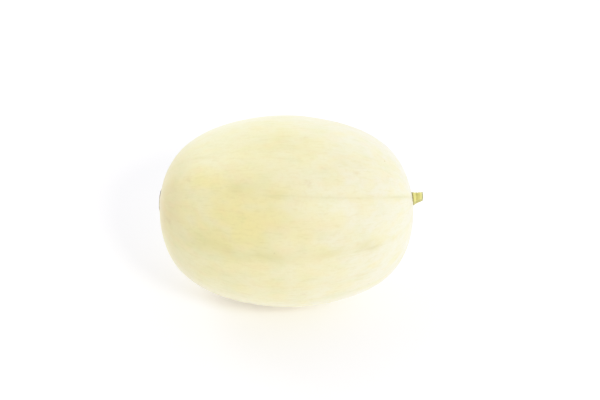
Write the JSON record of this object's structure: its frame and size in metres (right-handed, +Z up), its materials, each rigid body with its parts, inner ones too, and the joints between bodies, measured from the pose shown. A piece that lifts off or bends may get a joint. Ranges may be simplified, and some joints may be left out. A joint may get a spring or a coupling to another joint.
{
  "type": "oriental melon",
  "caption": "Whole ivory oriental melon lying on its side, smooth rind with faint lengthwise tracks, a corky blossom scar and a short cut stem stub.",
  "frame": {"origin": "centre of the bounding box's footprint, on the surface that the melon rests on", "axes": "+X along the fruit's long axis, out of its stem end; +Z up; +Y away from the side seen in front"},
  "size_m": [0.1561, 0.1138, 0.1131],
  "materials": {
    "rind": "waxy semi-matte melon rind, ivory going to pale yellow, with faint greener lengthwise tracks",
    "dry_stem": "dry, matt, fibrous yellow-green stalk"
  },
  "bodies": {
    "root": {"fruit": "rind", "stem": "dry_stem"}
  },
  "joints": []
}
